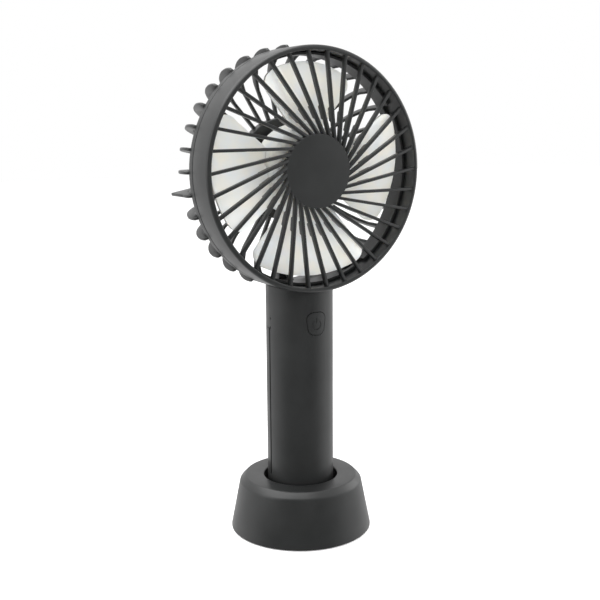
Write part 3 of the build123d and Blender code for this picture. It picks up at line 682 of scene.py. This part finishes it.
# %% Wall of the blade
blade_wall = 1.3
solidify = blade.modifiers.new("wall", "SOLIDIFY")
solidify.thickness = blade_wall * MM
solidify.offset = 0.0
bpy.context.view_layer.objects.active = blade
bpy.ops.object.modifier_apply(modifier=solidify.name)
bpy.ops.object.mode_set(mode="EDIT")
bpy.ops.mesh.select_all(action="SELECT")
bpy.ops.transform.translate(value=at(0, -blade_wall / 2, 0))
bpy.ops.object.mode_set(mode="OBJECT")
print("blade sheet faces:", len(blade.data.polygons))

# %% Outline of the blade
root_r, root_half = 18.9, math.radians(29.0)
tip_r, tip_half = 46.2, math.radians(35.5)
tip_steps = 28
trim_front, trim_length = -30.0, 60.0


def on_outline(radius, turn):
    """A point of the blade's outline, in front of the blade."""
    return at(radius * math.cos(turn), trim_front, radius * math.sin(turn)) + fan_centre


outline = [on_outline(root_r, -root_half), on_outline(root_r, root_half)]
for i in range(tip_steps + 1):
    outline.append(on_outline(tip_r, tip_half - 2 * tip_half * i / tip_steps))
trimmer = draw_wire("trimmer", outline)
print("outline corners:", len(outline))

# %% [markdown]
# The two tip corners are rounded by 6.6 mm. A bevel on one vertex of an arc made of short
# segments would stop at the next vertex, so the arc's vertices near each corner go first, and
# the corner is then rounded between the two long edges that are left.

# %% Round the tips and trim
corner_keep = math.radians(9.5)
corner_round = 6.6
corner_slack = 0.001            # radians, which leaves the corner itself out
between_root_and_tip = 40 * MM
tip_corners = [outline[2], outline[-1]]


def near_corner(co):
    """True for the arc's vertices beside a tip corner, but not for the corner itself."""
    is_tip = (co - fan_centre).length > between_root_and_tip
    angle = abs(math.atan2(co.z - head_z, co.x))
    return is_tip and tip_half - corner_keep < angle < tip_half - corner_slack


pick(trimmer, "VERT", near_corner)
bpy.ops.mesh.dissolve_verts()
for corner in tip_corners:
    round_corner(trimmer, corner, corner_round, segments=10)
bpy.ops.mesh.select_all(action="SELECT")
bpy.ops.mesh.edge_face_add()
bpy.ops.mesh.extrude_region_move(TRANSFORM_OT_translate={"value": at(0, trim_length, 0)})
close_up()
cut(blade, trimmer, "INTERSECT")
soften(blade, 0.4, segments=3, angle=50.0)
print("faces in one blade:", len(blade.data.polygons))

# %% All the blades
blade_count = 4
place_round(blade, 0.0, blade_count - 1, 360.0 / blade_count)
print("faces in", blade_count, "blades:", len(blade.data.polygons))

# %% Hub cup
hub_cup = turned_on_fan(
    "hub_cup",
    [
        (-11.5, 0.0), (-11.5, 20.0), (4.0, 20.0), (4.0, 18.6), (-9.9, 18.6), (-9.9, 3.4),
        (-3.0, 3.0), (-3.0, 1.0), (-9.2, 1.0), (-9.2, 0.0),
    ],
    [((-11.5, 20.0), 3.2), ((4.0, 20.0), 0.3), ((4.0, 18.6), 0.3)],
)
soften(hub_cup, 0)
blades_and_hub = join([hub_cup, blade], "blades_and_hub")
print("impeller faces:", len(blades_and_hub.data.polygons))

# %% [markdown]
# ## The battery cover
#
# The cover is the back half of the handle's tube. A dark line runs down each side of it: its
# outer wall stops short of the front shell, and a thinner inner wall closes the gap behind.
# Each wall is a rectangle, filled and spun through nearly half a turn. Three finger grooves
# are then cut across the back with cylinders.

# %% Walls of the cover
cover_low, cover_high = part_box("battery_cover")
handle_r = cover_high[0] / MM
cover_bottom = cover_low[2] / MM
cover_top = cover_high[2] / MM
dark_line = 0.85                # how far the outer wall stops behind the seam
outer_wall_t = 1.0
inner_wall_t = 0.55             # it overlaps the outer wall by 0.05 mm, to join it


def half_wall(name, inner, outer, edge):
    """Half a tube that stops some tenths of a millimetre (edge) behind the seam."""
    short = math.asin(edge / outer)
    corners = [(inner, cover_bottom), (outer, cover_bottom), (outer, cover_top), (inner, cover_top)]
    outline = []
    for radius, z in corners:
        outline.append(at(-radius * math.cos(short), radius * math.sin(short), z))
    wall = draw_wire(name, outline)
    bpy.ops.mesh.edge_face_add()
    spin((0, 0, 0), UP_AXIS, 48, degrees=180.0 - 2 * math.degrees(short))
    close_up()
    return wall


inner_wall_r = handle_r - outer_wall_t + 0.05
outer_wall = half_wall("outer_wall", handle_r - outer_wall_t, handle_r, dark_line)
inner_wall = half_wall("inner_wall", inner_wall_r - inner_wall_t, inner_wall_r, 0.1)
print("wall faces:", len(outer_wall.data.polygons), len(inner_wall.data.polygons))

# %% Finger grooves
groove_r, groove_length = 0.8, 14.0
groove_y = handle_r + 0.5
groove_drops = (6, 9, 12)       # how far below the cover's top
for drop in groove_drops:
    bpy.ops.object.select_all(action="DESELECT")
    bpy.ops.mesh.primitive_cylinder_add(
        vertices=24,
        radius=groove_r * MM,
        depth=groove_length * MM,
        location=at(0, groove_y, cover_top - drop),
        rotation=(0, math.pi / 2, 0),
    )
    cut(outer_wall, bpy.context.object)
soften(outer_wall, 0.15)
soften(inner_wall, 0)
half_cover = join([outer_wall, inner_wall], "half_cover")
print("cover faces:", len(half_cover.data.polygons))

# %% [markdown]
# ## Tie the new pieces to the CAD model
#
# Each new piece rides on the body that its CAD piece belongs to, so that it moves with the
# same joint, and stands in for that CAD piece, which is then hidden.

# %% Ride and replace
new_pieces = [
    (stand_shell, "stand", "charcoal_abs", ["base_shell"]),
    (front_guard, "front_cover", "charcoal_abs", ["front_grille"]),
    (rear_guard, "fan", "charcoal_abs", ["rear_grille"]),
    (blades_and_hub, "rotor", "milky_blade", ["impeller"]),
    (half_cover, "battery_door", "charcoal_abs", ["battery_cover"]),
]
for piece, body, slot, nodes in new_pieces:
    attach(piece, body)
    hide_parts(*nodes)
print("pieces modelled here:", [piece.name for piece, *_ in new_pieces])

# %% [markdown]
# ## Finishes
#
# Colours are written as sRGB hex values, as a colour picker shows them, and one function
# turns them linear. One more small function adds a node, sets what is given by name, and
# links what feeds it. Every pattern uses Object coordinates, so its scale is in metres: a
# noise scale of 1 / 0.002 m makes features about 2 mm across.

# %% Colour and node helpers
def linear(hex_value):
    """An sRGB hex value such as 454646 as a linear colour, fully opaque."""
    channels = []
    for start in (0, 2, 4):
        c = int(hex_value[start:start + 2], 16) / 255
        channels.append(c / 12.92 if c <= 0.04045 else ((c + 0.055) / 1.055) ** 2.4)
    return (*channels, 1.0)


def add(tree, kind, settings=None, links=None):
    """Add one node with its settings and the outputs that feed its inputs."""
    node = tree.nodes.new(kind)
    for key, value in (settings or {}).items():
        if isinstance(key, int):
            node.inputs[key].default_value = value
        elif key in node.inputs:
            node.inputs[key].default_value = value
        else:
            setattr(node, key, value)
    for key, output in (links or {}).items():
        tree.links.new(output, node.inputs[key])
    return node


def start_material(name):
    """A new material with nothing but its output and an Object coordinate source."""
    material = bpy.data.materials.new(name)
    material.use_nodes = True
    tree = material.node_tree
    tree.nodes.clear()
    place = add(tree, "ShaderNodeTexCoord").outputs["Object"]
    output = add(tree, "ShaderNodeOutputMaterial")
    return material, tree, place, output


finishes = {}
print("colour of middle grey:", [round(c, 3) for c in linear("808080")[:3]])

# %% [markdown]
# Three patterns make every finish: tones that drift, a gloss that drifts, and a fine grain.

# %% Patterns
def per_mm(size):
    """The noise scale whose features are about this many millimetres across."""
    return 1.0 / (size * MM)


def mottle(tree, place, size, dark, light, detail=4.0):
    """A colour that drifts between two tones over patches of a given size in mm."""
    noise = add(tree, "ShaderNodeTexNoise", {"Scale": per_mm(size), "Detail": detail},
                {"Vector": place})
    ramp = add(tree, "ShaderNodeValToRGB", None, {"Fac": noise.outputs["Fac"]})
    ramp.color_ramp.elements[0].position = 0.3
    ramp.color_ramp.elements[1].position = 0.7
    ramp.color_ramp.elements[0].color = linear(dark)
    ramp.color_ramp.elements[1].color = linear(light)
    return ramp.outputs["Color"]


def grain_normal(tree, place, size, height, detail=2.0):
    """Small bumps of a given size and height in mm."""
    noise = add(tree, "ShaderNodeTexNoise", {"Scale": per_mm(size), "Detail": detail},
                {"Vector": place})
    bump = add(tree, "ShaderNodeBump", {"Strength": 1.0, "Distance": height * MM},
               {"Height": noise.outputs["Fac"]})
    return bump.outputs["Normal"]


def drift(tree, place, size, low, high):
    """A roughness that drifts between two values over patches of a given size in mm."""
    noise = add(tree, "ShaderNodeTexNoise", {"Scale": per_mm(size), "Detail": 3.0},
                {"Vector": place})
    spread = add(tree, "ShaderNodeMapRange", {1: 0.3, 2: 0.7, 3: low, 4: high},
                 {0: noise.outputs["Fac"]})
    return spread.outputs["Result"]


print("noise scale for 2 mm patches:", per_mm(2.0))

# %% [markdown]
# ### Charcoal ABS
#
# ABS moulded in a spark-eroded tool has a fine satin grain: the eye sees a soft, wide
# highlight and an even dark grey. The grain itself is about 0.1 mm; it is drawn at 0.35 mm,
# the finest that still shows at this distance. Grease and handling make the gloss drift over
# patches of about 15 mm, and the pigment is never quite even. ABS has an IOR of about 1.54.

# %% Charcoal ABS
abs_plastic, tree, place, output = start_material("satin_charcoal_abs")
abs_shader = add(
    tree,
    "ShaderNodeBsdfPrincipled",
    {"IOR": 1.54, "Metallic": 0.0},
    {
        "Base Color": mottle(tree, place, 9.0, "1f2020", "232424"),
        "Roughness": drift(tree, place, 15.0, 0.3, 0.4),
        "Normal": grain_normal(tree, place, 0.35, 0.012),
    },
)
tree.links.new(abs_shader.outputs["BSDF"], output.inputs["Surface"])
finishes["charcoal_abs"] = abs_plastic

# %% [markdown]
# ### Milky blade plastic
#
# The blades are unpigmented plastic that scatters light, so they look white but soft.
# Subsurface scattering over about 2 mm and a little transmission do that. The tone drifts
# between a cold and a cream white over patches of about 8 mm. The moulding is polished, with
# a faint waviness about 6 mm across. Such a plastic has an IOR of about 1.49.

# %% Milky blades
milky, tree, place, output = start_material("milky_polypropylene")
milky_shader = add(
    tree,
    "ShaderNodeBsdfPrincipled",
    {
        "IOR": 1.49,
        "Subsurface Weight": 0.35,
        "Subsurface Radius": (1.0, 0.9, 0.8),
        "Subsurface Scale": 0.002,
        "Transmission Weight": 0.2,
    },
    {
        "Base Color": mottle(tree, place, 8.0, "eef2f3", "f7f4e9", detail=2.0),
        "Roughness": drift(tree, place, 12.0, 0.28, 0.4),
        "Normal": grain_normal(tree, place, 6.0, 0.06, detail=1.0),
    },
)
tree.links.new(milky_shader.outputs["BSDF"], output.inputs["Surface"])
finishes["milky_blade"] = milky

# %% [markdown]
# ### Rubber, screws, motor and electronics
#
# The hidden pieces get honest finishes too, because the cover comes off. Each row below is
# one material: its slot, its name, two tones and the patch they drift over, metallic, the
# roughness range, the IOR of what isn't metal, and the size and height of its grain in mm.
# Metals keep the default IOR. Drawn and stamped metal has fine scratches, so its grain is
# small and shallow; ferrite is sintered powder, so it is rough and dull.

# %% Small-part finishes
small_finishes = [
    ("foot_rubber", "black_rubber", "171717", "1e1e1d", 3.0, 0.0, (0.75, 0.9), 1.52, 0.4, 0.02),
    ("zinc_screw", "zinc_plated_steel", "a9abb0", "bcbec2", 0.8, 1.0, (0.22, 0.36), None, 0.2, 0.003),
    ("motor_steel", "plated_drawn_steel", "9c9ea2", "aeb0b3", 4.0, 1.0, (0.28, 0.4), None, 0.3, 0.003),
    ("shaft_steel", "ground_steel", "a6a8ab", "b7b9bb", 1.0, 1.0, (0.18, 0.3), None, 0.15, 0.002),
    ("ferrite", "sintered_ferrite", "2a2a2c", "353538", 0.8, 0.0, (0.65, 0.8), 1.6, 0.25, 0.01),
    ("white_nylon", "white_nylon", "cfccc2", "d8d6cd", 3.0, 0.0, (0.4, 0.55), 1.53, 0.35, 0.006),
    ("brass_contact", "stamped_brass", "b8954f", "c9a75f", 1.5, 1.0, (0.25, 0.4), None, 0.2, 0.003),
    ("copper_wire", "enamelled_copper", "a55a34", "b96c42", 0.6, 1.0, (0.25, 0.38), None, 0.3, 0.02),
    ("board_green", "green_solder_resist", "1d5a33", "236a3c", 1.2, 0.0, (0.22, 0.34), 1.5, 0.6, 0.01),
    ("chip_black", "moulded_epoxy", "1c1c1e", "242427", 0.5, 0.0, (0.55, 0.7), 1.55, 0.15, 0.005),
    ("plated_socket", "tin_plated_steel", "b4b6b8", "c4c6c8", 1.0, 1.0, (0.2, 0.34), None, 0.2, 0.003),
    ("cell_wrap", "blue_pvc_wrap", "1f5c9c", "2568ab", 5.0, 0.0, (0.2, 0.3), 1.54, 0.8, 0.01),
    ("lead_pvc", "black_pvc_lead", "161617", "1d1d1e", 1.5, 0.0, (0.35, 0.5), 1.54, 0.5, 0.008),
]
for slot, name, dark, light, patch, metal, rough, ior, grain, height in small_finishes:
    material, tree, place, output = start_material(name)
    settings = {"Metallic": metal}
    if ior is not None:
        settings["IOR"] = ior
    shader = add(
        tree,
        "ShaderNodeBsdfPrincipled",
        settings,
        {
            "Base Color": mottle(tree, place, patch, dark, light),
            "Roughness": drift(tree, place, 2 * patch, *rough),
            "Normal": grain_normal(tree, place, grain, height),
        },
    )
    tree.links.new(shader.outputs["BSDF"], output.inputs["Surface"])
    finishes[slot] = material
print("finishes:", sorted(finishes))

# %% Give every piece its finish
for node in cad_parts.values():
    for holder in node.material_slots:
        holder.material = finishes[holder.material.name.split(".")[0]]
for piece, body, slot, nodes in new_pieces:
    piece.data.materials.clear()
    piece.data.materials.append(finishes[slot])
print("finishes given to", len(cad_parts) + len(new_pieces), "pieces")

# %% [markdown]
# ## Floor and light
#
# A product picture on white: a plain white floor under a white surround, one large soft
# light from above, a weaker one on each side, and a front fill that lights the blades. The
# surround does most of the work, so shadows stay faint. The paper glows a little, so that it
# stays white to the horizon, and it is left out of reflections, so the handle stays dark.

# %% Floor
bpy.ops.object.select_all(action="DESELECT")
floor_size = 6.0                # metres
bpy.ops.mesh.primitive_plane_add(size=floor_size, location=(0, 0, 0))
floor = bpy.context.object
floor.name = "studio_floor"
paper, tree, place, output = start_material("white_paper_sweep")
paper_shader = add(
    tree,
    "ShaderNodeBsdfPrincipled",
    {
        "IOR": 1.45,
        "Specular IOR Level": 0.1,
        "Roughness": 0.9,
        "Emission Color": linear("ffffff"),
        "Emission Strength": 0.22,
    },
    {"Base Color": mottle(tree, place, 60.0, "f7f7f7", "fafafa")},
)
tree.links.new(paper_shader.outputs["BSDF"], output.inputs["Surface"])
floor.data.materials.append(paper)
floor.visible_glossy = False
print("floor side, m:", floor_size)

# %% [markdown]
# The surround is white where the camera sees it and above, behind and beside the fan, but
# dim on the side that faces the front, as a studio is dark behind the camera. That is what
# leaves the middle of the round handle dark and puts light along both its edges. The dim
# side is only in what the fan reflects: seen directly, the surround is white all round.

# %% Surround
to_camera_mirrored = (-0.49, -0.85, -0.18)   # where an upright face mirrors the camera's rays
bright, dim = 0.9, 0.03
world = bpy.data.worlds.new("white_surround")
bpy.context.scene.world = world
world.use_nodes = True
sky = world.node_tree
sky.nodes.clear()
direction = add(sky, "ShaderNodeTexCoord").outputs["Generated"]
frontness = add(
    sky,
    "ShaderNodeVectorMath",
    {"operation": "DOT_PRODUCT", 1: to_camera_mirrored},
    {0: direction},
)
fall_off = add(
    sky,
    "ShaderNodeMapRange",
    {"interpolation_type": "SMOOTHSTEP", 1: -0.1, 2: 0.75, 3: bright, 4: dim},
    {0: frontness.outputs["Value"]},
)
glossy = add(sky, "ShaderNodeLightPath").outputs["Is Glossy Ray"]
strength = add(sky, "ShaderNodeMix", {"data_type": "FLOAT", 2: 1.0},
               {0: glossy, 3: fall_off.outputs["Result"]})
background = add(
    sky, "ShaderNodeBackground", {"Color": linear("ffffff")}, {"Strength": strength.outputs[0]}
)
add(sky, "ShaderNodeOutputWorld", None, {"Surface": background.outputs["Background"]})
bpy.context.scene.view_settings.view_transform = "Standard"
print("surround nodes:", len(sky.nodes))

# %% Lamps
def soft_light(name, position, target, size, power):
    """A square area light that faces a point."""
    data = bpy.data.lights.new(name, "AREA")
    data.size = size
    data.energy = power
    lamp = bpy.data.objects.new(name, data)
    bpy.context.collection.objects.link(lamp)
    lamp.location = position
    lamp.rotation_euler = (position - target).to_track_quat("Z", "Y").to_euler()
    return lamp


middle = at(0, 0, 120)
soft_light("key_light", at(-200, 100, 800), middle, 0.9, 6.0)
soft_light("side_light", at(700, 0, 350), middle, 0.5, 1.0)
soft_light("left_light", at(-700, 0, 300), middle, 0.5, 1.0)
fill = soft_light("front_fill", at(-100, -850, 420), fan_centre, 0.9, 5.0)
fill.visible_glossy = False
